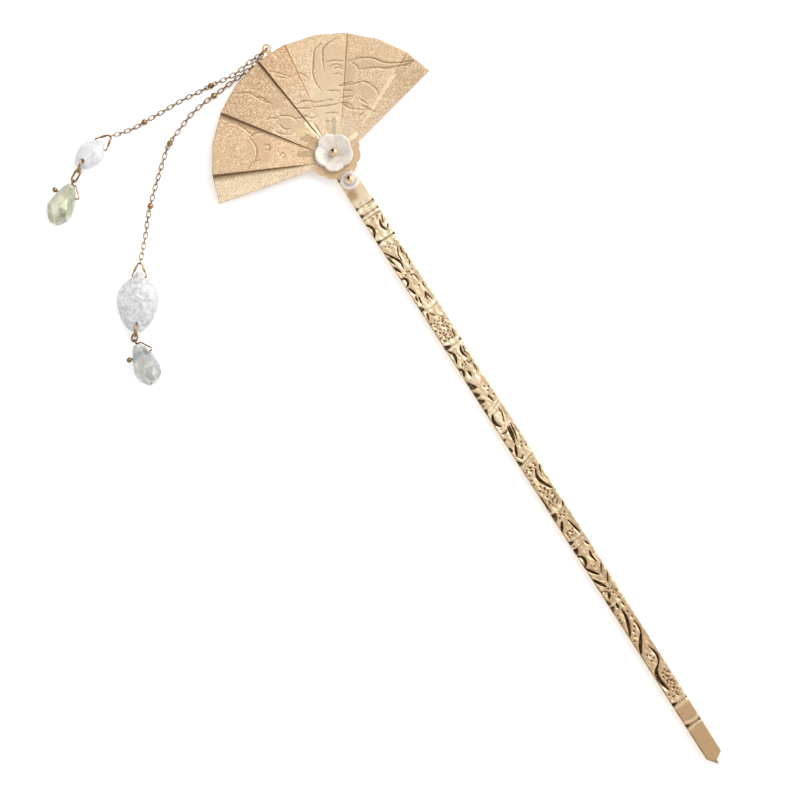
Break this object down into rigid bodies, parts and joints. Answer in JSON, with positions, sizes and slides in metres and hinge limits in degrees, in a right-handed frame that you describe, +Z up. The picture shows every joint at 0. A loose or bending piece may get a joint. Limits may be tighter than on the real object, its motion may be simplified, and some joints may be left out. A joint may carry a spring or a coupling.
{
  "type": "buyao hairpin",
  "caption": "Flat carved hair stick with a pleated fan head, a shell flower and chains that end in glass beads, lying on its back.",
  "frame": {"origin": "centre of the fan's arc, on the flat back of the stick", "axes": "+Y from the centre of the fan to its top, the stick runs to -Y; +Z up from the surface that it lies on, out of the carved face"},
  "size_m": [0.0904, 0.1903, 0.0074],
  "materials": {
    "carved_metal": "satin rose gold colour, darker in the carving",
    "pressed_metal": "frosted light gold with polished lines",
    "polished_metal": "polished light gold",
    "shell": "pearly shell",
    "pearl": "pearly and slightly clear",
    "crackle_glass": "clear glass, crackled white inside",
    "cut_glass": "clear faceted glass with a light rainbow coating"
  },
  "bodies": {
    "root": {"stick": "carved_metal", "fan": "pressed_metal", "shell_flower": "shell", "flower_pin": "polished_metal", "small_bead": "pearl", "bead_pin": "polished_metal", "edge_ring": "polished_metal", "long_chain": "polished_metal", "long_bail": "polished_metal", "long_leaf": "crackle_glass", "long_leaf_ring": "polished_metal", "long_oval_link": "polished_metal", "long_drop": "cut_glass", "long_drop_pin": "polished_metal", "short_chain": "polished_metal", "short_bail": "polished_metal", "short_leaf": "crackle_glass", "short_leaf_ring": "polished_metal", "short_oval_link": "polished_metal", "short_drop": "cut_glass", "short_drop_pin": "polished_metal"}
  },
  "joints": []
}
